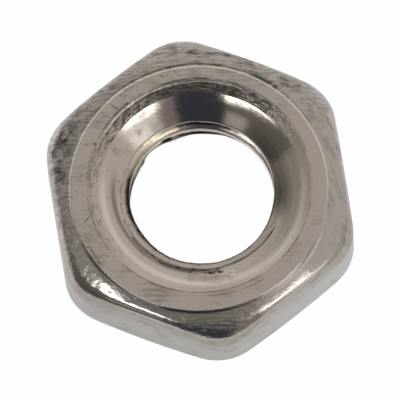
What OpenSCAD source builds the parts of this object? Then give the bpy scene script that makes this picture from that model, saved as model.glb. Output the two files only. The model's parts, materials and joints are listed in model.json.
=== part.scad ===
// Thin hexagon nut with a rounded crown and a raised washer face on both sides
// The bore runs along Z, the lower face rests on Z = 0 and two flats face along X

/* [Hexagon] */
// Distance between two opposite flats
across_flats = 10; // [9.5:0.1:11.2]
// Radius of the six corners, seen from above
corner_r = 1.65; // [0.5:0.05:2.5]
// Thickness from face to face
thickness = 3.2; // [2.9:0.1:6]

/* [Crown] */
// Diameter of each washer face
face_d = 8.9; // [8.2:0.1:9.4]
// Height of each washer face above the shoulder around it
face_step = 0.06; // [0.02:0.01:0.15]
// Slope of the shoulder where it leaves the washer face
crown_angle = 18; // [8:1:26]
// Radius of the shoulder's curve down to the flats, in section
crown_r = 2.8; // [2.2:0.1:5]

/* [Thread] */
// Nominal diameter of the screw
thread_d = 6; // [5.6:0.1:6.6]
// Distance from one turn of the thread to the next
pitch = 1; // [0.6:0.05:1.25]

/* [Countersinks] */
// Diameter at which each washer face turns down into its lip
lip_d = 7.8; // [7.3:0.05:8.1]
// Depth of each lip below its washer face
lip_depth = 0.14; // [0.06:0.01:0.3]
// Diameter of each countersink where it meets its lip
sink_d = 7.1; // [6.6:0.05:7.2]
// Full angle of each countersink
sink_angle = 115; // [90:1:120]

/* [Hidden] */
$fn = 128;
steel = [0.62, 0.59, 0.55];
// Number of flats
sides = 6;
// Angle from the middle of a flat to the corner beside it
half_side = 180 / sides;
// Distance from the bore's axis to the centre of a corner's round
corner_at = (across_flats / 2 - corner_r) / cos(half_side);
// Height of the upper shoulder at the edge of its washer face
shoulder_z = thickness - face_step;
// Centre of the upper crown's curve, in section
crown_x = face_d / 2 - crown_r * sin(crown_angle);
crown_z = shoulder_z - crown_r * cos(crown_angle);
// Height of the thread's sharp triangle
thread_h = pitch * sqrt(3) / 2;
// The thread is cut 5/8 of its triangle deep, which leaves this bore at its crests
bore_r = thread_d / 2 - 5 / 8 * thread_h;
// Depth below a washer face at which its countersink reaches the bore
sink_depth = lip_depth + (sink_d / 2 - bore_r) / tan(sink_angle / 2);
// How far a cut runs past the face that it opens through
past = 1;

// A section of the lower side, turned over to the upper side or back
module turned_over() {
    translate([0, thickness]) mirror([0, 1]) children();
}

// Outline of the hexagon: straight flats between round corners
module rounded_hexagon() {
    tangents = [
        for (i = [0:sides - 1], turn = [-half_side, half_side])
            let (a = half_side * (2 * i + 1))
            corner_at * [cos(a), sin(a)] + corner_r * [cos(a + turn), sin(a + turn)]
    ];
    polygon(tangents);
    for (i = [0:sides - 1])
        rotate(half_side * (2 * i + 1)) translate([corner_at, 0]) circle(corner_r);
}

// Section of the stock that lies under the upper crown's curve
module under_crown() {
    translate([crown_x, crown_z]) circle(crown_r);
    translate([0, crown_z - thickness]) square([crown_x, thickness + crown_r]);
    translate([0, crown_z - thickness]) square([crown_x + crown_r, thickness]);
}

// Section of the round blank: a crowned body between two washer faces
module blank_section() {
    square([face_d / 2, thickness]);
    intersection() {
        translate([0, face_step]) square([crown_x + crown_r, shoulder_z - face_step]);
        under_crown();
        turned_over() under_crown();
    }
}

// Section of the lower lip and countersink, as cut away
module sink_section() {
    polygon([
        [0, -past],
        [lip_d / 2, -past],
        [lip_d / 2, 0],
        [sink_d / 2, lip_depth],
        [bore_r, sink_depth],
        [0, sink_depth]
    ]);
}

// Section of the whole way through the nut
module way_section() {
    translate([0, -past]) square([bore_r, thickness + 2 * past]);
    sink_section();
    turned_over() sink_section();
}

// The nut, in one piece
module nut() {
    color(steel) difference() {
        intersection() {
            linear_extrude(thickness) rounded_hexagon();
            rotate_extrude() blank_section();
        }
        rotate_extrude() way_section();
    }
}

nut();
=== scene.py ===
"""Looks of a thin hexagon nut: a formed, faced and tapped ring of steel on a white studio floor."""

import json
import logging
from dataclasses import dataclass
from enum import Enum
from math import atan, atan2, cos, pi, radians, sin, sqrt, tan
from typing import Any, Iterator, Mapping, Sequence, Union

import bmesh
import bpy
from mathutils import Matrix, Vector, noise


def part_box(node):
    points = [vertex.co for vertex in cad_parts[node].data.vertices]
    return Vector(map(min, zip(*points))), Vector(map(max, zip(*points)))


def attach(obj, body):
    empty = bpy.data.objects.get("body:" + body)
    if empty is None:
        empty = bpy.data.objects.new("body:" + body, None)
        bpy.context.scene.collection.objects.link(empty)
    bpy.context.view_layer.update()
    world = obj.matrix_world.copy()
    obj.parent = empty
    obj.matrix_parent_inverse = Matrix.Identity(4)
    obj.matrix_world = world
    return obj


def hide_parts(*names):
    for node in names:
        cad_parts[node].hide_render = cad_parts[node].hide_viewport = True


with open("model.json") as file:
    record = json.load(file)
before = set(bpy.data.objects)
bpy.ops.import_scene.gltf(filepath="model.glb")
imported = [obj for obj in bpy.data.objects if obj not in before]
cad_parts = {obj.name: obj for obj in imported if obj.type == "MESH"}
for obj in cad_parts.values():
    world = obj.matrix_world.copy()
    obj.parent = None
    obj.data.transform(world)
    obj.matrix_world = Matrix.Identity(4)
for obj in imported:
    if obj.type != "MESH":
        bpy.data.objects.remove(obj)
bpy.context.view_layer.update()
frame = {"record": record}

LOG = logging.getLogger("nut")
MM = 0.001
SHADER = "Principled BSDF"
Rgb = tuple[float, float, float]
Point = tuple[float, float]
Band = tuple[float, float]
Operand = Union["Wire", float]

# Angle from the middle of a flat to the corner beside it
HALF_SIDE = pi / 6
# How fast the flanks of the thread open towards the axis
FLANK_SLOPE = tan(pi / 3)
# How far the upper washer face and the bore lie off the axis, in millimetres
FACE_SHIFT: Point = (-0.045, -0.085)
BORE_SHIFT: Point = (0.075, 0.08)


def ease(low: float, high: float, value: float) -> float:
    """A smooth step from 0 at low to 1 at high."""
    t = min(1.0, max(0.0, (value - low) / (high - low)))
    return t * t * (3 - 2 * t)


def soft_max(a: float, b: float, blend: float) -> float:
    """The larger of two values, with a round of the given width where they cross."""
    gap = max(0.0, blend - abs(a - b))
    return max(a, b) + gap * gap / (4 * blend)


def lumpy(at: Vector, size: float) -> float:
    """Noise about zero with lumps of the given size and one finer layer."""
    return noise.fractal(at / size, 1.0, 2.0, 2)


class Wire:
    """A value in a node tree, with arithmetic that adds Math nodes."""

    GRAIN_MEAN = 0.5

    def __init__(self, bench: "Bench", socket: bpy.types.NodeSocket) -> None:
        """Wrap an output socket."""
        self.bench = bench
        self.socket = socket

    def math(self, operation: str, *others: Operand) -> "Wire":
        """A Math node that starts with this value."""
        return self.bench.node("ShaderNodeMath", {"operation": operation}, dict(enumerate((self, *others))))

    def after(self, operation: str, first: Operand) -> "Wire":
        """A Math node that ends with this value."""
        return self.bench.node("ShaderNodeMath", {"operation": operation}, {0: first, 1: self})

    def __add__(self, other: Operand) -> "Wire":
        """The sum."""
        return self.math("ADD", other)

    def __radd__(self, other: Operand) -> "Wire":
        """The sum, after a number."""
        return self.math("ADD", other)

    def __sub__(self, other: Operand) -> "Wire":
        """The difference."""
        return self.math("SUBTRACT", other)

    def __rsub__(self, other: Operand) -> "Wire":
        """The difference from a number."""
        return self.after("SUBTRACT", other)

    def __mul__(self, other: Operand) -> "Wire":
        """The product."""
        return self.math("MULTIPLY", other)

    def __rmul__(self, other: Operand) -> "Wire":
        """The product, after a number."""
        return self.math("MULTIPLY", other)

    def __truediv__(self, other: Operand) -> "Wire":
        """The quotient."""
        return self.math("DIVIDE", other)

    def __rtruediv__(self, other: Operand) -> "Wire":
        """A number divided by this value."""
        return self.after("DIVIDE", other)

    def __pow__(self, other: Operand) -> "Wire":
        """The power."""
        return self.math("POWER", other)

    def step(self, low: float, high: float) -> "Wire":
        """A smooth step from 0 at low to 1 at high, which may run downwards."""
        inputs = {"Value": self, "From Min": low, "From Max": high}
        return self.bench.node("ShaderNodeMapRange", {"interpolation_type": "SMOOTHSTEP"}, inputs)

    def swing(self) -> "Wire":
        """A grain's noise, moved so that it swings about zero."""
        return self - self.GRAIN_MEAN


class Bench:
    """Adds nodes to one tree."""

    def __init__(self, tree: bpy.types.NodeTree) -> None:
        """Work on a material's or a world's tree."""
        self.tree = tree

    def node(
        self,
        kind: str,
        settings: Mapping[str, Any],
        inputs: Mapping[Union[str, int], Any],
        output: Union[str, int, None] = 0,
    ) -> Wire | None:
        """Add a node.

        Args:
            kind: the node's type.
            settings: its own settings, which are set first.
            inputs: the value or the wire of each socket that is not left as it is.
            output: the socket that is wanted, or None for a node without one.

        Returns:
            The wanted output.
        """
        made = self.tree.nodes.new(kind)
        for name, value in settings.items():
            setattr(made, name, value)
        for key, value in inputs.items():
            self.plug(made.inputs[key], value)
        return None if output is None else Wire(self, made.outputs[output])

    def plug(self, socket: bpy.types.NodeSocket, value: Any) -> None:
        """Link a wire to a socket, or set a plain value on it.

        Args:
            socket: the input socket.
            value: the wire or the value.
        """
        if isinstance(value, Wire):
            self.tree.links.new(value.socket, socket)
        else:
            socket.default_value = value

    def feed(self, node: str, socket: str, value: Any) -> None:
        """Plug a value into a node that the tree already has."""
        self.plug(self.tree.nodes[node].inputs[socket], value)

    def mix(self, factor: Operand, a: Wire | Rgb, b: Wire | Rgb) -> Wire:
        """A colour between two others.

        Args:
            factor: 0 for the first colour and 1 for the second.
            a: the first colour.
            b: the second colour.

        Returns:
            The colour between.
        """
        ends = [c if isinstance(c, Wire) else (*c, 1.0) for c in (a, b)]
        return self.node("ShaderNodeMix", {"data_type": "RGBA"}, {0: factor, 6: ends[0], 7: ends[1]}, 2)

    def vector(self, x: Operand, y: Operand, z: Operand) -> Wire:
        """A vector from its three values."""
        return self.node("ShaderNodeCombineXYZ", {}, {0: x, 1: y, 2: z})

    def grain(self, at: Wire, scale: float = 1.0, detail: float = 2.0, rough: float = 0.5) -> Wire:
        """Cloudy noise about 0.5.

        Args:
            at: where to read it.
            scale: how many grains there are to a unit.
            detail: how many finer layers it has.
            rough: how strong the finer layers are.

        Returns:
            The noise.
        """
        return self.node(
            "ShaderNodeTexNoise",
            {"noise_dimensions": "3D"},
            {"Vector": at, "Scale": scale, "Detail": detail, "Roughness": rough},
        )


@dataclass(frozen=True)
class Side:
    """A stretch round the axis, faded at both ends.

    Attributes:
        turn: the angle of its middle, in degrees from +X.
        fade: how far towards the middle it starts, from -1 to 1.
        full: how far towards the middle it shows in full.
    """

    turn: float
    fade: float
    full: float


@dataclass(frozen=True)
class Stroke:
    """A short straight mark, seen along the axis, in millimetres."""

    start: Point
    end: Point
    width: float


@dataclass(frozen=True)
class Spot:
    """A soft round patch, seen along the axis, in millimetres."""

    middle: Point
    size: float


@dataclass(frozen=True)
class Ring:
    """A soft line in a circle, seen along the axis, in millimetres."""

    middle: Point
    radius: float
    width: float


@dataclass(frozen=True)
class Place:
    """A point on a piece in millimetres, or a direction, with its parts."""

    bench: Bench
    at: Wire
    x: Wire
    y: Wire
    z: Wire
    r: Wire

    @classmethod
    def split(cls, bench: Bench, at: Wire) -> "Place":
        """Take a vector apart.

        Args:
            bench: the nodes to add to.
            at: the vector.

        Returns:
            The vector with its parts and its distance from the axis.
        """
        x, y, z = (bench.node("ShaderNodeSeparateXYZ", {}, {0: at}, i) for i in range(3))
        return cls(bench, at, x, y, z, (x * x + y * y) ** 0.5)

    @classmethod
    def on_piece(cls, bench: Bench) -> "Place":
        """The point that is shaded, in millimetres.

        Args:
            bench: the material's nodes.

        Returns:
            The point with its parts.
        """
        metres = bench.node("ShaderNodeTexCoord", {}, {}, "Object")
        scaled = bench.node("ShaderNodeVectorMath", {"operation": "SCALE"}, {0: metres, 3: 1 / MM})
        return cls.split(bench, scaled)

    @classmethod
    def looking(cls, bench: Bench) -> "Place":
        """The direction that is looked along, in the world."""
        return cls.split(bench, bench.node("ShaderNodeTexCoord", {}, {}, "Generated"))

    def towards(self, turn: float) -> Wire:
        """How far the point lies from the axis, measured towards an angle in degrees."""
        return self.x * cos(radians(turn)) + self.y * sin(radians(turn))

    def facing(self, turn: float) -> Wire:
        """How far the point lies towards an angle round the axis, from -1 to 1."""
        return self.towards(turn) / self.r

    def side(self, side: Side) -> Wire:
        """1 within a stretch round the axis and 0 outside it."""
        return self.facing(side.turn).step(side.fade, side.full)

    def ringed(self, along: float, radial: float, depth: float) -> Wire:
        """Coordinates for marks that run round the axis.

        Args:
            along: how fast they change round the axis.
            radial: how fast they change across it.
            depth: how fast they change along it.

        Returns:
            The coordinates.
        """
        return self.bench.vector(
            self.x / self.r * along, self.y / self.r * along, self.r * radial + self.z * depth)

    def combed(self, turn: float, along: float, across: float) -> Wire:
        """Coordinates for straight marks in one direction.

        Args:
            turn: the marks' direction, in degrees from +X.
            along: how fast they change along themselves.
            across: how fast they change across.

        Returns:
            The coordinates.
        """
        return self.bench.vector(
            self.towards(turn) * along, self.towards(turn + 90) * across, self.z * across)

    def level(self, along: float, depth: float) -> Wire:
        """Coordinates for level marks.

        Args:
            along: how fast they change along themselves.
            depth: how fast they change from top to bottom.

        Returns:
            The coordinates.
        """
        return self.bench.vector(self.x * along, self.y * along, self.z * depth)

    def bent(self, scale: float, amount: float) -> "Place":
        """The same place read through a wavy glass, for marks that aren't straight.

        Args:
            scale: how many waves there are to a millimetre.
            amount: how far they reach.

        Returns:
            The moved place.
        """
        waves = self.bench.node("ShaderNodeTexNoise", {}, {"Vector": self.at, "Scale": scale}, "Color")
        settings = {"operation": "MULTIPLY_ADD"}
        ends = {0: waves, 1: (2 * amount,) * 3, 2: self.at}
        return Place.split(self.bench, self.bench.node("ShaderNodeVectorMath", settings, ends))

    def square_off(self, middle: Point) -> Wire:
        """Square of the distance from a point, seen along the axis.

        Args:
            middle: the point.

        Returns:
            The square in square millimetres.
        """
        off_x = self.x - middle[0]
        off_y = self.y - middle[1]
        return off_x * off_x + off_y * off_y

    def near_line(self, stroke: Stroke) -> Wire:
        """Where a stroke lies.

        Args:
            stroke: the mark.

        Returns:
            1 in its middle and 0 outside.
        """
        run = Vector(stroke.end) - Vector(stroke.start)
        from_x = self.x - stroke.start[0]
        from_y = self.y - stroke.start[1]
        share = (from_x * run.x + from_y * run.y) / run.length_squared
        share = share.math("MINIMUM", 1.0).math("MAXIMUM", 0.0)
        off_x = from_x - share * run.x
        off_y = from_y - share * run.y
        return (off_x * off_x + off_y * off_y).step((stroke.width / 2) ** 2, 0.0)

    def near_spot(self, spot: Spot) -> Wire:
        """Where a spot lies: 1 in its middle and 0 outside."""
        return self.square_off(spot.middle).step((spot.size / 2) ** 2, 0.0)

    def near_ring(self, ring: Ring) -> Wire:
        """Where a ring lies: 1 in the middle of its line and 0 outside."""
        off = (self.square_off(ring.middle) ** 0.5 - ring.radius).math("ABSOLUTE")
        return off.step(ring.width / 2, 0.0)


@dataclass
class Skin:
    """What all the marks on one finish add up to.

    Attributes:
        dull: the metal's roughness.
        dark: how far it is darkened, by dirt and by painted shade.
        relief: its fine relief in millimetres.
    """

    dull: Operand
    dark: Operand = 0.0
    relief: Operand = 0.0

    def add(self, mark: Wire, dark: float = 0.0, dull: float = 0.0, relief: float = 0.0) -> None:
        """Add one kind of mark.

        Args:
            mark: where it lies, or noise that swings about zero.
            dark: how much it darkens, for dirt and for painted shade.
            dull: how much duller it makes the metal.
            relief: how far it stands up, in millimetres.
        """
        if dark:
            self.dark = self.dark + mark * dark
        if dull:
            self.dull = self.dull + mark * dull
        if relief:
            self.relief = self.relief + mark * relief

    def wipe(self, mark: Wire) -> None:
        """Take the darkening so far off where a mark lies."""
        self.dark = self.dark * (1 - mark)


@dataclass(frozen=True)
class Finish:
    """Bare steel, as it is set up on every zone.

    Attributes:
        name: the material's name.
        steel: colour of the bare metal.
        painted_gleam: colour that painted highlights and painted light are mixed towards.
        grime_and_shade: colour of what lies in its pits and scratches, and of painted shade.
        roughness: how dull the bare metal is.
    """

    name: str
    steel: Rgb = (0.63, 0.58, 0.54)
    painted_gleam: Rgb = (0.95, 0.91, 0.87)
    grime_and_shade: Rgb = (0.12, 0.108, 0.096)
    roughness: float = 0.28

    def make(self) -> bpy.types.Material:
        """Set up the material.

        Returns:
            The finished material.
        """
        material = bpy.data.materials.new(self.name)
        material.use_nodes = True
        bench = Bench(material.node_tree)
        bench.feed(SHADER, "Metallic", 1.0)
        self.paint(bench, Place.on_piece(bench))
        return material

    def paint(self, bench: Bench, on: Place) -> None:
        """Set what changes over the surface; each finish has its own way."""
        raise NotImplementedError

    def lay(self, bench: Bench, steel: Wire | Rgb, skin: Skin) -> None:
        """Plug the finish into the shader.

        Args:
            bench: the material's nodes.
            steel: the metal's colour before it is darkened.
            skin: what the marks on it add up to.
        """
        inputs = {"Strength": 1.0, "Distance": MM, "Height": skin.relief}
        bench.feed(SHADER, "Base Color", bench.mix(skin.dark, steel, self.grime_and_shade))
        bench.feed(SHADER, "Roughness", skin.dull)
        bench.feed(SHADER, "Normal", bench.node("ShaderNodeBump", {}, inputs, "Normal"))


@dataclass(frozen=True)
class FaceFinish(Finish):
    """The washer faces: pressed smooth, with tumbling scratches, nicks, a few dark tool lines and painted
    light on the right.
    """

    steel: Rgb = (0.72, 0.664, 0.62)
    HAZE = 0.03
    NICKS = (
        Stroke((-4.07, -1.51), (-3.98, -1.56), 0.098),
        Stroke((-3.98, -1.56), (-3.73, -2.18), 0.084),
        Stroke((-4.02, -0.6), (-3.86, -0.45), 0.098),
        Stroke((-0.16, 4.29), (0.05, 4.07), 0.084),
        Stroke((-0.66, 4.19), (-0.56, 4.13), 0.084),
        Stroke((2.1, -3.69), (2.55, -3.66), 0.056),
        Stroke((-2.5, 3.42), (-2.32, 3.26), 0.098),
        Stroke((-2.8, 3.08), (-2.6, 3.0), 0.084),
    )
    TOOL_RING = Ring((0.0, 0.03), 3.855, 0.09)
    NEAR_TOOL_RING = Ring((0.1, -0.05), 3.92, 0.07)
    NEAR_SIDE = Side(285, 0.75, 1.0)
    FAR_SIDE = Side(90, 0.5, 1.0)
    PEPPERED_SIDE = Side(150, 0.3, 0.9)
    PAINTED_LIGHT_SIDE = Side(5, 0.1, 1.0)
    DIM_SIDE = Side(56, 0.7, 1.0)

    def paint(self, bench: Bench, on: Place) -> None:
        """Grey satin with marks in several directions.

        Args:
            bench: the material's nodes.
            on: the point that is shaded.
        """
        wavy = on.bent(scale=5, amount=0.05)
        cloud = bench.grain(on.at, scale=1.3, detail=3).swing()
        rings = bench.grain(on.ringed(along=4, radial=8, depth=0)).swing()
        fine = bench.grain(on.combed(turn=-9, along=1, across=9), detail=3, rough=0.6).swing()
        cuts = bench.grain(on.combed(turn=-38, along=1.2, across=9), detail=1).step(0.62, 0.75)
        cuts = cuts + bench.grain(on.combed(turn=64, along=1.6, across=10), detail=1).step(0.64, 0.77)
        nicks = sum(wavy.near_line(nick) for nick in self.NICKS)
        nicks = nicks * bench.grain(on.at, scale=5).step(0.3, 0.55)
        tool = on.near_ring(self.TOOL_RING) + on.near_ring(self.NEAR_TOOL_RING) * on.side(self.NEAR_SIDE)
        tool = tool * bench.grain(on.at, scale=1.7).step(0.25, 0.6)
        pepper = bench.grain(wavy.combed(turn=-40, along=2.2, across=7), rough=0.6).step(0.6, 0.72)
        far = on.side(self.FAR_SIDE)
        skin = Skin(self.roughness, self.HAZE)
        skin.add(cloud, dark=1.1, relief=0.006)
        skin.add(rings, dark=0.3, relief=0.002)
        skin.add(fine, dark=1.0, dull=0.12, relief=0.003)
        skin.add(cuts, dark=0.15, dull=0.08, relief=-0.002)
        skin.add(nicks, dark=0.5, dull=0.2, relief=-0.008)
        skin.add(tool, dark=0.5, relief=-0.004)
        skin.add(tool * far, dark=0.5)
        skin.add(far, dark=0.06)
        skin.add(pepper * on.side(self.PEPPERED_SIDE), dark=0.4)
        # Painted light: the face is painted paler towards the right.
        skin.add(on.side(self.PAINTED_LIGHT_SIDE), dark=-0.18)
        skin.add(on.side(self.DIM_SIDE), dark=0.16)
        self.lay(bench, self.steel, skin)


@dataclass(frozen=True)
class CrownFinish(Finish):
    """The shoulders: as formed, mottled and scaly, duller on the far side, with painted highlights and
    painted shade.
    """

    steel: Rgb = (0.62, 0.58, 0.55)
    filmed: Rgb = (0.7, 0.66, 0.57)
    smudged_and_shaded: Rgb = (0.44, 0.4, 0.36)
    roughness: float = 0.1
    DARK_SPOTS = (Spot((-4.1, 2.87), 1.1), Spot((-4.45, 2.2), 1.2), Spot((-4.6, 1.4), 0.8))
    SPOTTED_R = (5.36, 5.14)
    DARK_LINES = (
        Stroke((2.47, 3.85), (3.2, 3.28), 0.34),
        Stroke((3.5, 3.45), (3.95, 3.2), 0.55),
        Stroke((-0.74, 5.19), (0.55, 5.0), 0.2),
        Stroke((0.55, 5.0), (1.85, 4.72), 0.22),
        Stroke((2.4, 4.42), (2.55, 4.25), 0.22),
    )
    FACE_EDGE = Ring(FACE_SHIFT, 4.42, 0.11)
    EDGE_SIDE = Side(85, -0.5, 0.3)
    FAR_FOOT = Ring(FACE_SHIFT, 4.52, 0.12)
    FAR_SIDE = Side(85, 0.55, 0.9)
    NEAR_FOOT = Ring(FACE_SHIFT, 4.45, 0.14)
    NEAR_SIDE = Side(262, 0.3, 0.6)
    GLEAM = Ring(FACE_SHIFT, 4.5, 0.18)
    GLEAM_SIDE = Side(311, 0.93, 0.985)
    GLEAM_CORNER = Side(153, 0.955, 0.99)
    GLEAM_CORNER_R = (5.1, 5.3)
    SCALY_SIDE = Side(110, -0.4, 0.6)
    DRAWN_SIDE = Side(2, 0.72, 0.95)
    FILM_SIDE = Side(266, 0.94, 0.99)
    FILM_Z = (2.72, 2.84)
    LOW_FILM_SIDE = Side(269, 0.98, 0.997)
    LOW_FILM_Z = (2.58, 2.68)
    SHADED_ROUND_SIDE = Side(275, 0.1, 0.5)
    SHADED_ROUND_Z = (2.9, 2.78)

    def paint(self, bench: Bench, on: Place) -> None:
        """Blotches and short streaks that run across the picture, with pits, painted highlights and painted
        shade.

        Args:
            bench: the material's nodes.
            on: the point that is shaded.
        """
        wavy = on.bent(scale=3, amount=0.12)
        smooth = on.bent(scale=1, amount=0.1)
        along_streaks = on.bent(scale=1.5, amount=0.15).combed(turn=-9, along=1.6, across=8)
        streak = bench.grain(along_streaks, detail=3, rough=0.6)
        blotch = bench.grain(on.at, scale=2.2, detail=4, rough=0.6)
        pits = bench.grain(on.at, scale=9).step(0.6, 0.72)
        drawn = bench.grain(smooth.combed(turn=-78, along=1.3, across=5), detail=3, rough=0.6)
        drawn = drawn.step(0.48, 0.66) * on.side(self.DRAWN_SIDE)
        spots = sum(wavy.near_spot(spot) for spot in self.DARK_SPOTS) * blotch.step(0.3, 0.55)
        lines = sum(smooth.near_line(line) for line in self.DARK_LINES)
        lines = lines * (streak.step(0.3, 0.6) * 0.3 + 0.25)
        scaly = on.side(self.SCALY_SIDE) * 0.9 + 0.1
        film = on.side(self.FILM_SIDE) * on.z.step(*self.FILM_Z)
        film = film.math("MAXIMUM", on.side(self.LOW_FILM_SIDE) * on.z.step(*self.LOW_FILM_Z))
        # Painted highlight: the face's edge on the far side is painted pale and clean.
        edge = on.near_ring(self.FACE_EDGE) * on.side(self.EDGE_SIDE)
        # Painted shade, with some dirt, in the foot of the step on the far side and the near side.
        foot = on.near_ring(self.FAR_FOOT) * on.side(self.FAR_SIDE)
        foot = foot + on.near_ring(self.NEAR_FOOT) * on.side(self.NEAR_SIDE)
        skin = Skin(self.roughness)
        skin.add(scaly, dull=0.14)
        skin.add(blotch.step(0.45, 0.75) * scaly, dark=0.35)
        skin.add(blotch.swing() * scaly, dull=0.3, relief=0.02)
        skin.add(streak.step(0.45, 0.62) * scaly, dark=0.4)
        skin.add(streak.swing() * scaly, relief=0.03)
        skin.add(pits, dull=0.1)
        skin.add(pits * scaly, dark=0.2, relief=-0.003)
        skin.add(spots * on.r.step(*self.SPOTTED_R) + lines, dark=0.7)
        skin.add(drawn, dark=0.3)
        skin.add(film, dull=0.055)
        skin.add(streak.swing() * film, dull=0.45, relief=0.012)
        skin.wipe(edge)
        skin.add(foot, dark=0.6)
        # Painted shade: the lower part of the round on the near side is painted darker and warmer, mottled.
        smudge_and_shade = on.z.step(*self.SHADED_ROUND_Z) * on.side(self.SHADED_ROUND_SIDE)
        steel = bench.mix(smudge_and_shade * (blotch.step(0.4, 0.65) * 0.5 + 0.5), self.steel, self.smudged_and_shaded)
        # Painted highlights: the face's edge, a pale band by the face on the near right and the rim of the
        # left corner are mixed towards a pale colour.
        gleam = on.near_ring(self.GLEAM) * on.side(self.GLEAM_SIDE)
        corner = on.side(self.GLEAM_CORNER) * on.r.step(*self.GLEAM_CORNER_R)
        steel = bench.mix(edge + gleam + corner * 0.5, steel, self.painted_gleam)
        self.lay(bench, bench.mix(film, steel, self.filmed), skin)


@dataclass(frozen=True)
class FlatFinish(Finish):
    """The six flats: drawn satin, with faint lines along them, smudges, a few pits, painted shade towards
    the top and painted light.
    """

    steel: Rgb = (0.64, 0.63, 0.615)
    smudged_and_shaded: Rgb = (0.5, 0.455, 0.41)
    roughness: float = 0.33
    SHADED_TOP_Z = (1.5, 2.7)
    PAINTED_LIGHT_SIDE = Side(305, 0.7, 1.0)

    def paint(self, bench: Bench, on: Place) -> None:
        """Fine level lines, cloudy patches, pits and smudges, with painted shade that darkens and warms the
        top.

        Args:
            bench: the material's nodes.
            on: the point that is shaded.
        """
        cloud = bench.grain(on.at, scale=1.1, detail=3).swing()
        lines = bench.grain(on.level(along=1, depth=9), detail=3, rough=0.6).swing()
        pits = bench.grain(on.level(along=3, depth=7)).step(0.66, 0.76)
        skin = Skin(self.roughness)
        skin.add(cloud, dark=1.2, relief=0.008)
        skin.add(lines, dark=1.3, dull=0.16, relief=0.004)
        skin.add(pits, dark=0.5, dull=0.1, relief=-0.003)
        # Painted light: the near-right flat is painted paler.
        skin.add(on.side(self.PAINTED_LIGHT_SIDE), dark=-0.12)
        # Smudges all over, and painted shade, mottled, towards the top.
        smudge_and_shade = bench.grain(on.at, scale=1.9, detail=4, rough=0.65).step(0.45, 0.68)
        smudge_and_shade = on.z.step(*self.SHADED_TOP_Z) * (smudge_and_shade * 0.5 + 0.5) + smudge_and_shade * 0.15
        self.lay(bench, bench.mix(smudge_and_shade, self.steel, self.smudged_and_shaded), skin)


@dataclass(frozen=True)
class RimFinish(Finish):
    """Steel on both sides of the countersink's rim, with the pale ring where the rim turns over, which is a
    painted highlight.
    """

    steel: Rgb = (0.66, 0.605, 0.555)
    PALE_RING = Ring((0.11, -0.02), 3.44, 0.4)
    PALE_RING_SIDE = Side(262, -0.35, 0.15)

    def gleam(self, on: Place) -> Wire:
        """The pale ring, a painted highlight that shows on the near side."""
        return on.near_ring(self.PALE_RING) * on.side(self.PALE_RING_SIDE)


@dataclass(frozen=True)
class LipFinish(RimFinish):
    """The lips inside the washer faces: scaly and dark on the far side, smooth on the near one, with painted
    highlights and painted light.
    """

    roughness: float = 0.3
    OUTER_EDGE = Ring((0.01, 0.01), 3.78, 0.1)
    EDGE_SIDE = Side(105, 0.55, 0.9)
    DIRTY_EDGE = Ring((0.01, 0.01), 3.78, 0.4)
    PITTED_SIDE = Side(170, 0.5, 0.9)
    SCALY_SIDE = Side(88, 0.1, 0.9)
    DARK_SIDE = Side(81, 0.55, 0.95)
    LIT_RIGHT_SIDE = Side(-10, -0.2, 0.9)

    def paint(self, bench: Bench, on: Place) -> None:
        """Flaky scale that thins out towards the near side, with painted highlights and a paler right side
        of painted light.

        Args:
            bench: the material's nodes.
            on: the point that is shaded.
        """
        flake = bench.grain(on.ringed(along=9, radial=9, depth=9), detail=3, rough=0.6)
        pits = bench.grain(on.ringed(along=14, radial=7, depth=7), detail=3, rough=0.6).step(0.52, 0.64)
        rings = bench.grain(on.ringed(along=1.5, radial=8, depth=4)).swing()
        scaly = on.side(self.SCALY_SIDE)
        pitted = on.side(self.PITTED_SIDE)
        edge = on.near_ring(self.OUTER_EDGE) * on.side(self.EDGE_SIDE)
        skin = Skin(self.roughness)
        skin.add(scaly, dark=0.42, dull=0.03)
        skin.add(flake.step(0.35, 0.65) * scaly, dark=0.35)
        skin.add(flake.swing() * scaly, dull=0.3, relief=0.026)
        skin.add(pits * scaly, dark=0.3, relief=-0.01)
        skin.add(pits * pitted, dark=0.4)
        skin.add(rings, dark=0.3, relief=0.002)
        skin.add(on.side(self.DARK_SIDE), dark=0.3)
        skin.add(on.near_ring(self.DIRTY_EDGE) * pitted, dark=0.25)
        # Painted highlights: the outer edge on the far side is cleaned and made pale, as is the pale ring on
        # the near side; painted light makes the right side a little paler.
        skin.wipe(edge)
        painted_gleam = on.side(self.LIT_RIGHT_SIDE) * 0.2 + self.gleam(on) * 0.8 + edge * 0.6
        self.lay(bench, bench.mix(painted_gleam, self.steel, self.painted_gleam), skin)


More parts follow.
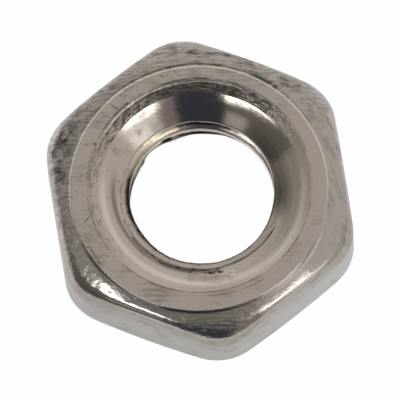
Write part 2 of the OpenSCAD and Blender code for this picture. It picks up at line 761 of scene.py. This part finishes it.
@dataclass(frozen=True)
class SinkFinish(RimFinish):
    """The countersinks: turned bright, with fine rings, smears, painted shade and a painted highlight."""

    grime_and_shade: Rgb = (0.18, 0.17, 0.135)
    roughness: float = 0.12
    SMEARS = (
        Spot((-2.45, 1.95), 0.9),
        Spot((-1.8, 2.45), 0.5),
        Spot((-1.55, 2.97), 0.4),
        Spot((-2.5, 0.6), 0.9),
    )
    GROOVE_SHADE = Ring((0.04, 0.03), 3.0, 0.3)
    GROOVE_SHADE_SIDE = Side(212, 0.45, 0.85)
    RIGHT_SHADE_SIDE = Side(8, 0.75, 0.97)
    RIGHT_SHADE_R = (3.3, 2.75)
    NEAR_RIGHT_SHADE_SIDE = Side(-50, 0.4, 0.9)
    NEAR_RIGHT_SHADE_R = (3.4, 2.8)

    def paint(self, bench: Bench, on: Place) -> None:
        """Bright metal with smears on its left side, painted shade low on the right and at the near left,
        and a painted highlight.

        Args:
            bench: the material's nodes.
            on: the point that is shaded.
        """
        rings = bench.grain(on.ringed(along=1.4, radial=9, depth=9)).swing()
        blotch = bench.grain(on.at, scale=3.2, detail=4, rough=0.6)
        smears = sum(on.near_spot(smear) for smear in self.SMEARS) * blotch.step(0.38, 0.62)
        skin = Skin(self.roughness)
        skin.add(rings, dark=0.45, dull=0.06, relief=0.0012)
        skin.add(blotch.step(0.58, 0.8), dark=0.3)
        skin.add(blotch.swing(), relief=0.004)
        skin.add(smears, dark=0.5, dull=0.25)
        # Painted shade where the thread's groove cuts in at the near left, and deep in the countersink on
        # the right and the near right.
        skin.add(on.near_ring(self.GROOVE_SHADE) * on.side(self.GROOVE_SHADE_SIDE), dark=0.8)
        skin.add(on.r.step(*self.RIGHT_SHADE_R) * on.side(self.RIGHT_SHADE_SIDE), dark=0.6)
        skin.add(on.r.step(*self.NEAR_RIGHT_SHADE_R) * on.side(self.NEAR_RIGHT_SHADE_SIDE), dark=0.4)
        # The pale ring on the near side is a painted highlight.
        self.lay(bench, bench.mix(self.gleam(on) * 0.85, self.steel, self.painted_gleam), skin)


@dataclass(frozen=True)
class ThreadFinish(Finish):
    """The tapped thread: torn a little, with painted shade at the bottom of its groove and a painted
    highlight.
    """

    steel: Rgb = (0.64, 0.58, 0.52)
    brassy: Rgb = (0.82, 0.74, 0.6)
    grime_and_shade: Rgb = (0.05, 0.04, 0.032)
    roughness: float = 0.22
    WORN_CREST = Ring(BORE_SHIFT, 2.55, 0.8)
    GROOVE_SIDE = Side(235, 0.1, 0.7)
    FAR_CREST = Ring(BORE_SHIFT, 2.52, 0.3)
    FAR_SIDE = Side(84, 0.78, 0.93)
    DARK_CREST = Ring(BORE_SHIFT, 2.55, 0.34)
    DARK_CREST_SIDE = Side(215, 0.3, 0.7)
    LEFT_CREST = Ring(BORE_SHIFT, 2.55, 0.2)
    LEFT_SIDE = Side(150, 0.7, 0.95)
    BRASSY_SIDE = Side(120, 0.8, 0.97)
    SLIT_GLEAM_SIDE = Side(26, 0.88, 0.98)

    def paint(self, bench: Bench, on: Place) -> None:
        """Lines along the thread, painted shade in the groove, a darker crest and a painted highlight on the
        upper right.

        Args:
            bench: the material's nodes.
            on: the point that is shaded.
        """
        rings = bench.grain(on.ringed(along=3, radial=9, depth=9), detail=3).swing()
        blotch = bench.grain(on.at, scale=4, detail=3, rough=0.6)
        far = on.side(self.FAR_SIDE)
        slit_gleam = on.side(self.SLIT_GLEAM_SIDE)
        torn = 1 - slit_gleam * 0.85
        groove = 1 - on.near_ring(self.WORN_CREST).step(0.02, 0.4)
        groove = groove * (on.side(self.GROOVE_SIDE) * 0.65 + 0.35)
        root = 1 - on.near_ring(self.FAR_CREST).step(0.0, 0.8)
        crest = on.near_ring(self.DARK_CREST) * on.side(self.DARK_CREST_SIDE)
        crest = crest + on.near_ring(self.LEFT_CREST) * on.side(self.LEFT_SIDE) * 0.55
        skin = Skin(self.roughness)
        # Painted shade in the root of the groove on the near side and the far side, and a darker crest at
        # the near left and the left.
        skin.add(groove * (1 - far) + root * far + crest, dark=0.85)
        skin.add(rings, dark=0.5)
        skin.add(rings * torn, relief=0.006)
        skin.add(blotch.step(0.5, 0.75), dark=0.3)
        skin.add(blotch.swing(), dull=0.2)
        skin.add(blotch.swing() * torn, relief=0.008)
        steel = bench.mix(on.side(self.BRASSY_SIDE), self.steel, self.brassy)
        # Painted highlight: a pale slit on the upper right, with less relief.
        self.lay(bench, bench.mix(slit_gleam, steel, self.painted_gleam), skin)


class Part(Enum):
    """The stretches of the ring's section, from the bore outwards."""

    WAY = "way"
    LIP = "lip"
    FACE = "face"
    STEP = "step"
    CROWN = "crown"
    ROUND = "round"
    WALL = "wall"


class Zone(Enum):
    """The differently worked surfaces, each with a material slot of its own."""

    THREAD = 0
    SINK = 1
    LIP = 2
    FACE = 3
    CROWN = 4
    FLAT = 5


@dataclass(frozen=True)
class Row:
    """One closed line round the nut: a place on a stretch of its section.

    Attributes:
        part: the stretch of the section.
        upper: whether it lies on the upper side.
        t: place along the stretch, 0 at its inner or lower end and 1 at its outer or upper end.
    """

    part: Part
    upper: bool
    t: float


@dataclass(frozen=True)
class Burr:
    """The torn flake where the thread's groove runs out into the upper countersink.

    Attributes:
        turn: angle of its middle round the axis.
        span: how far it reaches to both sides.
        height: how far it stands out, in millimetres.
        depth: depth of its crest at its middle, below the upper face.
        lead: how far the crest rises in a radian.
        half_width: half its width along the axis.
        ragged: how far the crest wanders.
        ragged_grains: how often it wanders in a millimetre.
        torn: share of the height that is left on average.
        torn_change: how far that share changes.
        torn_grains: how often it changes in a millimetre.
        torn_layer: layer of the noise that it takes.
    """

    turn: float = radians(267)
    span: float = radians(17)
    height: float = 0.12
    depth: float = 0.36
    lead: float = 0.3
    half_width: float = 0.16
    ragged: float = 0.06
    ragged_grains: float = 3.0
    torn: float = 0.6
    torn_change: float = 0.9
    torn_grains: float = 4.0
    torn_layer: float = 3.0

    def rise(self, turn: float, depth: float, radius: float) -> float:
        """How far the flake stands out of the wall.

        Args:
            turn: angle round the axis.
            depth: depth below the upper face.
            radius: radius at which its length is measured.

        Returns:
            The height in millimetres.
        """
        off = abs((turn - self.turn + pi) % (2 * pi) - pi)
        if off > self.span:
            return 0.0
        along = turn * radius
        ragged = noise.noise(Vector((along * self.ragged_grains, 0.0, 0.0)))
        crest = self.depth - self.lead * ((turn % (2 * pi)) - self.turn) + self.ragged * ragged
        near = ease(self.half_width, 0.0, abs(depth - crest))
        grain = Vector((along * self.torn_grains, depth * self.torn_grains, self.torn_layer))
        torn = self.torn + self.torn_change * noise.noise(grain)
        return self.height * near * max(0.0, torn) * ease(self.span, self.span * 0.5, off)


@dataclass(frozen=True)
class NutForm:
    """Sizes of the nut in millimetres, and the surfaces that follow from them."""

    across_flats: float
    corner_reach: float
    thickness: float
    bore_r: float
    thread_r: float = 3.0
    pitch: float = 1.0
    groove_depth_at_x: float = 1.409
    runout_rise: float = 0.15
    runout_depths: Band = (0.7, 0.62)
    lead_pull: float = 0.14
    pull_depths: Band = (1.0, 0.82)
    pull_end_depths: Band = (0.64, 0.7)
    lip_r: float = 3.82
    lip_depth: float = 0.14
    sink_r: float = 3.55
    sink_slope: float = 1.4
    sink_rim_slope: float = 1.92
    sink_rim_depth: float = 0.45
    way_round: float = 0.04
    crest_gap: float = 0.03
    crest_wear: float = 0.1
    worn_turn: float = radians(271)
    worn_reach: Band = (0.35, 0.95)
    face_r: float = 4.385
    face_step: float = 0.022
    face_lean: float = 0.018
    lean_turn: float = radians(80)
    step_width: float = 0.07
    crown_angle: float = radians(18)
    crown_r: float = 4.1
    edge_round: float = 0.31
    edge_round_change: float = 0.12
    rounder_turn: float = radians(222)
    corner_edge_round: float = 0.8
    far_edge_round: float = 0.3
    lower_edge_round: float = 0.25
    face_shift: Point = FACE_SHIFT
    lip_shift: Point = (0.01, 0.02)
    sink_shift: Point = (0.03, -0.04)
    bore_shift: Point = BORE_SHIFT
    notch: float = 0.16
    notch_turn: float = radians(120)
    notch_span: float = radians(16)
    notch_depth_shares: Band = (0.5, 0.6)
    burr: Burr = Burr()

    @classmethod
    def from_frame(cls) -> "NutForm":
        """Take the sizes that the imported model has.

        Returns:
            The form.
        """
        low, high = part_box("nut")
        thread = next(m for m in frame["record"]["mounts"] if m["name"] == "thread")
        return cls(
            across_flats=(high.x - low.x) / MM,
            corner_reach=(high.y - low.y) / 2 / MM,
            thickness=(high.z - low.z) / MM,
            bore_r=thread["dims"]["r_mm"],
        )

    @property
    def corner_r(self) -> float:
        """Radius of a corner's round, from how far the corner reaches."""
        slant = 1 / cos(HALF_SIDE)
        return (self.across_flats / 2 * slant - self.corner_reach) / (slant - 1)

    @property
    def root_half_width(self) -> float:
        """Half the flat at the bottom of the thread's groove, which is an eighth of the pitch."""
        return self.pitch / 8 / 2

    def outline(self, turn: float) -> float:
        """Distance from the axis to the outside of the hexagon.

        Args:
            turn: angle round the axis, 0 at the middle of a flat.

        Returns:
            The distance in millimetres.
        """
        half = self.across_flats / 2
        off_flat = abs((turn + HALF_SIDE) % (2 * HALF_SIDE) - HALF_SIDE)
        flat_end = atan((half - self.corner_r) * tan(HALF_SIDE) / half)
        if off_flat <= flat_end:
            return half / cos(off_flat)
        centre = (half - self.corner_r) / cos(HALF_SIDE)
        off_corner = HALF_SIDE - off_flat
        return centre * cos(off_corner) + sqrt(self.corner_r**2 - (centre * sin(off_corner)) ** 2)

    def crown(self, r: float) -> tuple[float, float]:
        """Depth of the crown below the foot of the washer face, and its slope.

        Args:
            r: distance from the axis.

        Returns:
            The depth in millimetres and the angle of the slope.
        """
        centre_r = self.face_r - self.crown_r * sin(self.crown_angle)
        run = r - centre_r
        rise = sqrt(self.crown_r**2 - run * run)
        return self.crown_r * cos(self.crown_angle) - rise, atan2(run, rise)

    def cut(self, floor: float, away: float) -> float:
        """Radius of one turn's groove, from its floor's and the distance along the axis from its middle."""
        return floor - max(0.0, abs(away) - self.root_half_width) * FLANK_SLOPE

    def groove(self, turn: float, depth: float) -> float:
        """Radius that the tap has cut, which is the bore's between two grooves.

        Args:
            turn: angle round the axis.
            depth: depth below the upper face.

        Returns:
            The radius in millimetres.
        """
        first = self.groove_depth_at_x - self.pitch * (turn % (2 * pi)) / (2 * pi)
        floor = self.thread_r - self.runout_rise * ease(*self.runout_depths, first)
        pulled = self.lead_pull * ease(*self.pull_depths, first) * ease(*self.pull_end_depths, first)
        cuts = [self.cut(floor, depth - (first - pulled))]
        cuts += [self.cut(self.thread_r, depth - first - below * self.pitch) for below in (1, 2)]
        worn = self.crest_wear * ease(*self.worn_reach, cos(turn - self.worn_turn))
        return max(self.bore_r + self.crest_gap + worn, *cuts)

    def sink(self, depth: float) -> float:
        """Radius of the countersinks, which steepen below their rims.

        Args:
            depth: depth below the upper face.

        Returns:
            The radius in millimetres.
        """
        down = min(depth, self.thickness - depth) - self.lip_depth
        rim = min(down, self.sink_rim_depth)
        eased = (self.sink_rim_slope - self.sink_slope) * (rim - rim * rim / (2 * self.sink_rim_depth))
        return self.sink_r - down * self.sink_slope - eased

    def way(self, turn: float, depth: float) -> float:
        """Radius of the whole way through the nut.

        Args:
            turn: angle round the axis.
            depth: depth below the upper face.

        Returns:
            The radius in millimetres.
        """
        torn = self.notch * ease(cos(self.notch_span), 1.0, cos(turn - self.notch_turn))
        torn *= ease(*(self.thickness * share for share in self.notch_depth_shares), depth)
        wall = soft_max(self.sink(depth), self.groove(turn, depth) + torn, self.way_round)
        return wall - self.burr.rise(turn, depth, self.thread_r)

    def place(self, row: Row, turn: float) -> Vector:
        """Where a row of the ring lies at an angle.

        Args:
            row: the row of the section.
            turn: angle round the axis.

        Returns:
            The point in millimetres.
        """
        if row.part is Part.WAY:
            depth = self.lip_depth + (1 - row.t) * (self.thickness - 2 * self.lip_depth)
            sink_depth = self.lip_depth + (self.sink_r - self.bore_r) / self.sink_slope
            tapped = ease(self.lip_depth, sink_depth, depth)
            lower = ease(self.thickness - sink_depth, self.thickness - self.lip_depth, depth)
            shift = Vector(self.sink_shift).lerp(Vector(self.bore_shift), tapped) * (1 - lower)
            return self.point(self.way(turn, depth), turn, depth, shift)
        r, depth, shift = self.outer(row, turn)
        if row.upper:
            return self.point(r, turn, depth, shift)
        return self.point(r, turn, self.thickness - depth, Vector((0, 0)))

    def outer(self, row: Row, turn: float) -> tuple[float, float, Vector]:
        """A row outside the countersinks at an angle.

        Args:
            row: the row of the section.
            turn: angle round the axis.

        Returns:
            Its radius, its depth below its own face and, on the upper side, how far it lies off the axis.
        """
        lip_shift = Vector(self.lip_shift)
        shift = Vector(self.face_shift)
        if row.part is Part.LIP:
            r = self.sink_r + row.t * (self.lip_r - self.sink_r)
            return r, self.lip_depth * (1 - row.t), Vector(self.sink_shift).lerp(lip_shift, row.t)
        if row.part is Part.FACE:
            return self.lip_r + row.t * (self.face_r - self.lip_r), 0.0, lip_shift.lerp(shift, row.t)
        r, depth = self.shoulder(row, turn, shift if row.upper else Vector((0, 0)))
        return r, depth, Vector((0, 0))

    def shoulder(self, row: Row, turn: float, shift: Vector) -> tuple[float, float]:
        """A row outside the washer face at an angle.

        Args:
            row: the row of the section.
            turn: angle round the axis.
            shift: how far the washer face lies off the axis.

        Returns:
            Its radius and its depth below its own face.
        """
        step = self.face_step
        if row.upper:
            step += self.face_lean * cos(turn - self.lean_turn)
        foot = self.off_axis(self.face_r + self.step_width, turn, shift)
        if row.part is Part.STEP:
            top = self.off_axis(self.face_r, turn, shift)
            return top + row.t * (foot - top), (step + self.crown(foot)[0]) * row.t
        reach = self.outline(turn)
        edge_round, hub_depth, slope = self.edge(turn, reach, row.upper, step)
        hub_r = reach - edge_round
        if row.part is Part.CROWN:
            seam_r = hub_r + edge_round * sin(slope)
            r = foot + row.t * (seam_r - foot)
            return r, step + self.crown(r)[0]
        if row.part is Part.ROUND:
            lean = (pi / 2 - slope) * (1 - row.t)
            return hub_r + edge_round * cos(lean), hub_depth - edge_round * sin(lean)
        bottom = self.thickness - self.edge(turn, reach, False, self.face_step)[1]
        return reach, hub_depth + row.t * (bottom - hub_depth)

    def edge(self, turn: float, reach: float, upper: bool, step: float) -> tuple[float, float, float]:
        """The round between the crown and a flat or a corner.

        Args:
            turn: angle round the axis.
            reach: distance from the axis to the outside.
            upper: whether it is on the upper side.
            step: height of the washer face above the crown.

        Returns:
            Its radius, the depth of its centre and the crown's slope where it starts.
        """
        edge_round = self.lower_edge_round
        if upper:
            cornered = ease(self.across_flats / 2, self.corner_reach, reach)
            edge_round = self.edge_round + self.edge_round_change * cos(turn - self.rounder_turn)
            edge_round += cornered * (self.corner_edge_round - edge_round)
            edge_round += max(0.0, cos(turn - self.lean_turn)) * (self.far_edge_round - edge_round)
        run = reach - edge_round - self.face_r + self.crown_r * sin(self.crown_angle)
        slope = atan2(run, sqrt((self.crown_r - edge_round) ** 2 - run * run))
        seam_depth = step + self.crown(reach - edge_round + edge_round * sin(slope))[0]
        return edge_round, seam_depth + edge_round * cos(slope), slope

    @staticmethod
    def off_axis(radius: float, turn: float, shift: Vector) -> float:
        """Distance from the axis to a circle that lies off it.

        Args:
            radius: the circle's radius.
            turn: angle round the axis.
            shift: the circle's centre.

        Returns:
            The distance at that angle.
        """
        along = shift.x * cos(turn) + shift.y * sin(turn)
        across = shift.y * cos(turn) - shift.x * sin(turn)
        return along + sqrt(radius * radius - across * across)

    def point(self, r: float, turn: float, depth: float, shift: Vector) -> Vector:
        """The point at a radius, angle and depth below the upper face."""
        return Vector((r * cos(turn) + shift.x, r * sin(turn) + shift.y, self.thickness - depth))


@dataclass(frozen=True)
class Stretch:
    """How one stretch of the section is divided into rows.

    Attributes:
        part: the stretch.
        upper_rows: number of rows on the upper side.
        lower_rows: number of rows on the lower side.
        crowd: how far the rows crowd to both ends, from 0 to 1.
    """

    part: Part
    upper_rows: int
    lower_rows: int
    crowd: float = 0.0

    def rows(self, upper: bool) -> Iterator[Row]:
        """Rows along the stretch, without the one at its end.

        Args:
            upper: whether it is on the upper side.

        Yields:
            The rows in order.
        """
        count = self.upper_rows if upper else self.lower_rows
        for i in range(count):
            even = i / count
            yield Row(self.part, upper, even + self.crowd * ((1 - cos(pi * even)) / 2 - even))


WAY_STRETCH = Stretch(Part.WAY, 76, 0)
OUTWARD_STRETCHES = (
    Stretch(Part.LIP, 10, 6, 0.6),
    Stretch(Part.FACE, 13, 6, 0.8),
    Stretch(Part.STEP, 5, 4),
    Stretch(Part.CROWN, 20, 10, 0.3),
    Stretch(Part.ROUND, 9, 6),
)
WALL_STRETCH = Stretch(Part.WALL, 10, 0)


def section_rows() -> list[Row]:
    """The whole section: up the bore, out over the top and back under the bottom.

    Returns:
        The rows in order.
    """
    rows: list[Row] = []
    for stretch in (WAY_STRETCH, *OUTWARD_STRETCHES, WALL_STRETCH):
        rows += stretch.rows(True)
    for stretch in reversed(OUTWARD_STRETCHES):
        rows += [Row(row.part, False, 1 - row.t) for row in stretch.rows(False)]
    return rows


@dataclass(frozen=True)
class Wear:
    """How far forming and handling have moved the skin of each stretch, in millimetres."""

    lump: float = 0.006
    lump_size: float = 0.6
    knock: float = 0.004
    knock_turn: float = radians(212)
    knock_span: float = radians(16)
    scale: float = 0.004
    scale_size: float = 0.16
    scale_least: float = 0.35
    scale_reach: Band = (-0.6, 0.3)
    crown_calm: Band = (0.0, 0.25)
    round_calm: Band = (0.2, 1.0)
    chip: float = 0.013
    chip_size: float = 0.17
    chip_bias: float = 0.1
    chip_least: float = 0.12
    chip_reach: Band = (-0.25, 0.5)
    lower_chip_share: float = 0.5
    chipped_turn: float = radians(118)
    lip_calm: Band = (0.0, 0.15)
    ripple: float = 0.0025
    ripple_size: float = 0.9
    ripple_bias: float = -0.5

    def offset(self, row: Row, at: Vector) -> float:
        """How far a point of the skin stands proud.

        Args:
            row: the row that the point is in.
            at: the point in millimetres.

        Returns:
            The height along the outward normal.
        """
        if row.part in (Part.CROWN, Part.ROUND):
            return self.shoulder(row, at)
        if row.part is Part.LIP:
            return self.lip(row, at)
        if row.part is Part.WALL:
            return self.ripple * (lumpy(at, self.ripple_size) + self.ripple_bias)
        return 0.0

    def worse(self, at: Vector, least: float, reach: Band) -> float:
        """How rough the metal is, which grows towards its chipped side.

        Args:
            at: the point in millimetres.
            least: roughness on the other side.
            reach: how far towards the chipped side it starts and is full, from -1 to 1.

        Returns:
            A value up to 1.
        """
        return least + (1 - least) * ease(*reach, cos(atan2(at.y, at.x) - self.chipped_turn))

    def shoulder(self, row: Row, at: Vector) -> float:
        """Lumps, scale and knocks on the crown and its edge.

        Args:
            row: the row that the point is in.
            at: the point in millimetres.

        Returns:
            The height along the outward normal.
        """
        calm = ease(*self.crown_calm, row.t) if row.part is Part.CROWN else 1 - ease(*self.round_calm, row.t)
        knocked = ease(cos(self.knock_span), 1.0, cos(atan2(at.y, at.x) - self.knock_turn))
        rough = self.worse(at, self.scale_least, self.scale_reach)
        lumps = (self.lump * rough + self.knock * knocked) * lumpy(at, self.lump_size)
        return calm * (lumps + self.scale * rough * lumpy(at, self.scale_size))

    def lip(self, row: Row, at: Vector) -> float:
        """Chips along the lips.

        Args:
            row: the row that the point is in.
            at: the point in millimetres.

        Returns:
            The height along the outward normal, which is never above zero.
        """
        rough = self.worse(at, self.chip_least, self.chip_reach) if row.upper else self.lower_chip_share
        bite = max(0.0, lumpy(at, self.chip_size) + self.chip_bias)
        return -self.chip * rough * bite * ease(*self.lip_calm, row.t)


class NutBody:
    """The nut as one closed ring."""

    NAME = "nut_body"
    STEPS = 540
    SEAM = 1e-5

    def __init__(self, form: NutForm, wear: Wear) -> None:
        """Keep what the ring is shaped by.

        Args:
            form: the form that the ring is shaped to.
            wear: the wear of its skin.
        """
        self.form = form
        self.wear = wear
        self.rows = section_rows()
        self.piece: bpy.types.Object | None = None

    def build(self) -> bpy.types.Object:
        """Roll a sheet up into a ring, shaped to the hexagon and the thread.

        Returns:
            The finished piece.
        """
        mesh = bmesh.new()
        bmesh.ops.create_grid(mesh, x_segments=self.STEPS, y_segments=len(self.rows), size=1)
        row_of = mesh.verts.layers.int.new("row")
        for vert in mesh.verts:
            vert[row_of] = round((vert.co.y + 1) / 2 * len(self.rows)) % len(self.rows)
            vert.co = self.form.place(self.rows[vert[row_of]], pi * vert.co.x)
        bmesh.ops.remove_doubles(mesh, verts=mesh.verts, dist=self.SEAM)
        bmesh.ops.recalc_face_normals(mesh, faces=mesh.faces)
        mesh.normal_update()
        for vert in mesh.verts:
            vert.co += vert.normal * self.wear.offset(self.rows[vert[row_of]], vert.co)
        for face in mesh.faces:
            face.material_index = self.zone([self.rows[v[row_of]] for v in face.verts], face).value
            face.smooth = True
        bmesh.ops.scale(mesh, vec=(MM, MM, MM), verts=mesh.verts)
        data = bpy.data.meshes.new(self.NAME)
        mesh.to_mesh(data)
        mesh.free()
        self.piece = bpy.data.objects.new(self.NAME, data)
        bpy.context.scene.collection.objects.link(self.piece)
        return self.piece

    def zone(self, rows: Sequence[Row], face: bmesh.types.BMFace) -> Zone:
        """The zone of a face.

        Args:
            rows: the rows that the face joins.
            face: the face, in millimetres.

        Returns:
            The zone that it belongs to.
        """
        parts = {row.part for row in rows}
        if parts == {Part.WAY}:
            middle = face.calc_center_median()
            turn = atan2(middle.y, middle.x)
            depth = self.form.thickness - middle.z
            return Zone.SINK if self.form.sink(depth) > self.form.groove(turn, depth) else Zone.THREAD
        if Part.WAY in parts or Part.LIP in parts:
            return Zone.LIP
        if Part.FACE in parts:
            return Zone.FACE
        return Zone.FLAT if Part.WALL in parts else Zone.CROWN

    def dress(self) -> None:
        """Give every zone its finish."""
        finishes = {
            Zone.THREAD: ThreadFinish("tapped_steel"),
            Zone.SINK: SinkFinish("turned_steel"),
            Zone.LIP: LipFinish("scaly_steel"),
            Zone.FACE: FaceFinish("faced_steel"),
            Zone.CROWN: CrownFinish("formed_steel"),
            Zone.FLAT: FlatFinish("drawn_steel"),
        }
        for zone in Zone:
            self.piece.data.materials.append(finishes[zone].make())


@dataclass(frozen=True)
class Panel:
    """A soft stretch of the studio round the nut, by direction.

    Attributes:
        azimuth: direction of its middle round the nut, from +X.
        half_width: half its width as an angle.
        low: elevation of its lower edge.
        high: elevation of its upper edge.
        soft: how far its edges fade.
        glow: its brightness and tint.
    """

    azimuth: float
    half_width: float
    low: float
    high: float
    soft: float
    glow: Rgb

    def mask(self, way: Place) -> Wire:
        """Where the panel shows.

        Args:
            way: the direction that is looked along.

        Returns:
            A value from 0 to 1.
        """
        inner = cos(radians(max(0.0, self.half_width - self.soft)))
        across = way.facing(self.azimuth).step(cos(radians(self.half_width + self.soft)), inner)
        above = way.z.step(*self.fade(self.low))
        return across * above * (1 - way.z.step(*self.fade(self.high)))

    def fade(self, elevation: float) -> Band:
        """The heights between which a level edge fades."""
        return sin(radians(elevation - self.soft)), sin(radians(elevation + self.soft))


class Studio:
    """The floor, the light and the camera."""

    PIXELS = 400
    PIXELS_PER_MM = 29.12
    AIM_PIXEL = (200.25, 200.5)
    DISTANCE = 0.4
    CLIP = (0.01, 10.0)
    SENSOR = 36.0
    AZIMUTH = radians(-5.7)
    TILT = radians(18.2)
    ROLL = radians(3.4)
    WHITE = (1.0, 1.0, 1.0)
    FLOOR_R = 0.6
    FLOOR_SEGMENTS = 64
    FLOOR_WHITE = (0.8, 0.8, 0.8)
    WHITE_TO_CAMERA = 0.985
    WHITE_TO_STEEL = 0.45
    PALE_TURN = 11.0
    PALE_FLOOR = Side(PALE_TURN, -0.6, 1.0)
    PALE_TO_STEEL = 0.12
    LEFT_FLOOR = Side(172, 0.7, 1.0)
    LEFT_TO_STEEL = 0.2
    SHADE = (0.3, 0.28, 0.26)
    PALE = (0.56, 0.53, 0.5)
    PANELS = (
        # Pale wall low on the far side
        Panel(76, 60, -10, 16, 8, (0.74, 0.705, 0.67)),
        # Dim ceiling above the near side
        Panel(243, 58, 54, 88, 8, (0.2, 0.19, 0.18)),
        # Dark wall at the near left, with a paler patch
        Panel(211, 36, -8, 42, 3, (0.14, 0.13, 0.12)),
        Panel(226, 10, 20, 31, 4, (0.42, 0.4, 0.38)),
        # Bright lamp over that wall, and its brighter core
        Panel(218, 22, 43, 53.5, 2, (1.2, 1.17, 1.13)),
        Panel(218, 22, 45.5, 53.5, 1.5, (3.4, 3.32, 3.22)),
        # Pale wall at the near right, the lamp over it with its core, and a bright patch
        Panel(313, 19, 8, 30, 4, (0.5, 0.485, 0.46)),
        Panel(313, 19, 30, 54.5, 4, (0.75, 0.73, 0.7)),
        Panel(313, 17, 41.5, 54, 2.5, (2.6, 2.54, 2.46)),
        Panel(322, 9, 16, 36, 5, (1.1, 1.07, 1.03)),
        # Dusky strip beside that wall, and the dark wall in front
        Panel(290, 8, 0, 52, 5, (0.24, 0.2, 0.2)),
        Panel(260.5, 22.5, -10, 56, 3, (0.042, 0.045, 0.062)),
        # Pale wall low on the left
        Panel(160, 24, -10, 12, 5, (0.6, 0.575, 0.54)),
    )

    def camera(self, form: NutForm) -> None:
        """Look down on the nut as the photograph does, through a long lens.

        Args:
            form: the nut's sizes.
        """
        data = bpy.data.cameras.new("camera")
        data.sensor_width = self.SENSOR
        half_width = self.PIXELS / 2 / self.PIXELS_PER_MM * MM
        data.lens = self.SENSOR / 2 * self.DISTANCE / half_width
        data.clip_start, data.clip_end = self.CLIP
        camera = bpy.data.objects.new("camera", data)
        level = sin(self.TILT)
        back = Vector((sin(self.AZIMUTH) * level, -cos(self.AZIMUTH) * level, cos(self.TILT)))
        turn = (-back).to_track_quat("-Z", "Y").to_matrix() @ Matrix.Rotation(-self.ROLL, 3, "Z")
        off_x = (self.PIXELS / 2 - self.AIM_PIXEL[0]) / self.PIXELS_PER_MM
        off_y = (self.AIM_PIXEL[1] - self.PIXELS / 2) / self.PIXELS_PER_MM
        middle = Vector((0, 0, form.thickness / 2)) + turn @ Vector((off_x, off_y, 0))
        camera.matrix_world = Matrix.Translation(middle * MM + back * self.DISTANCE) @ turn.to_4x4()
        bpy.context.scene.collection.objects.link(camera)
        bpy.context.scene.camera = camera

    def floor(self) -> None:
        """A white floor, white to the camera and about half as bright to the steel, with painted light that
        makes it paler to the steel towards the right and on the left.
        """
        mesh = bmesh.new()
        bmesh.ops.create_circle(mesh, cap_ends=True, segments=self.FLOOR_SEGMENTS, radius=self.FLOOR_R)
        data = bpy.data.meshes.new("floor")
        mesh.to_mesh(data)
        mesh.free()
        floor = bpy.data.objects.new("floor", data)
        bpy.context.scene.collection.objects.link(floor)
        material = bpy.data.materials.new("floor_white")
        material.use_nodes = True
        material.node_tree.nodes.clear()
        bench = Bench(material.node_tree)
        on = Place.on_piece(bench)
        seen = bench.node("ShaderNodeLightPath", {}, {}, "Is Camera Ray") * self.WHITE_TO_CAMERA
        # Painted light: to the steel the floor glows paler towards the right and on the left.
        paler = on.side(self.PALE_FLOOR) * self.PALE_TO_STEEL + on.side(self.LEFT_FLOOR) * self.LEFT_TO_STEEL
        mirrored = bench.node("ShaderNodeLightPath", {}, {}, "Is Glossy Ray") * (paler + self.WHITE_TO_STEEL)
        lit = bench.node("ShaderNodeBsdfDiffuse", {}, {"Color": (*self.FLOOR_WHITE, 1)})
        white = bench.node("ShaderNodeEmission", {}, {"Color": (*self.WHITE, 1)})
        mixed = bench.node("ShaderNodeMixShader", {}, {0: seen + mirrored, 1: lit, 2: white})
        bench.node("ShaderNodeOutputMaterial", {}, {"Surface": mixed}, None)
        data.materials.append(material)

    def light(self) -> None:
        """Soft light all round: paler to the right, dark in front, with two bright lamps beside that."""
        world = bpy.data.worlds.new("studio")
        world.use_nodes = True
        bench = Bench(world.node_tree)
        way = Place.looking(bench)
        glow = bench.mix(way.towards(self.PALE_TURN).step(-1, 1), self.SHADE, self.PALE)
        for panel in self.PANELS:
            glow = bench.mix(panel.mask(way), glow, panel.glow)
        seen = bench.node("ShaderNodeLightPath", {}, {}, "Is Camera Ray")
        bench.feed("Background", "Color", bench.mix(seen, glow, self.WHITE))
        bpy.context.scene.world = world
        bpy.context.scene.view_settings.view_transform = "Standard"


def main() -> None:
    """Build the studio and the nut."""
    logging.basicConfig(level=logging.INFO)
    form = NutForm.from_frame()
    studio = Studio()
    studio.camera(form)
    studio.floor()
    studio.light()
    body = NutBody(form, Wear())
    piece = body.build()
    body.dress()
    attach(piece, "root")
    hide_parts("nut")
    LOG.info("%s: %d faces", piece.name, len(piece.data.polygons))


if __name__ == "__main__":
    main()
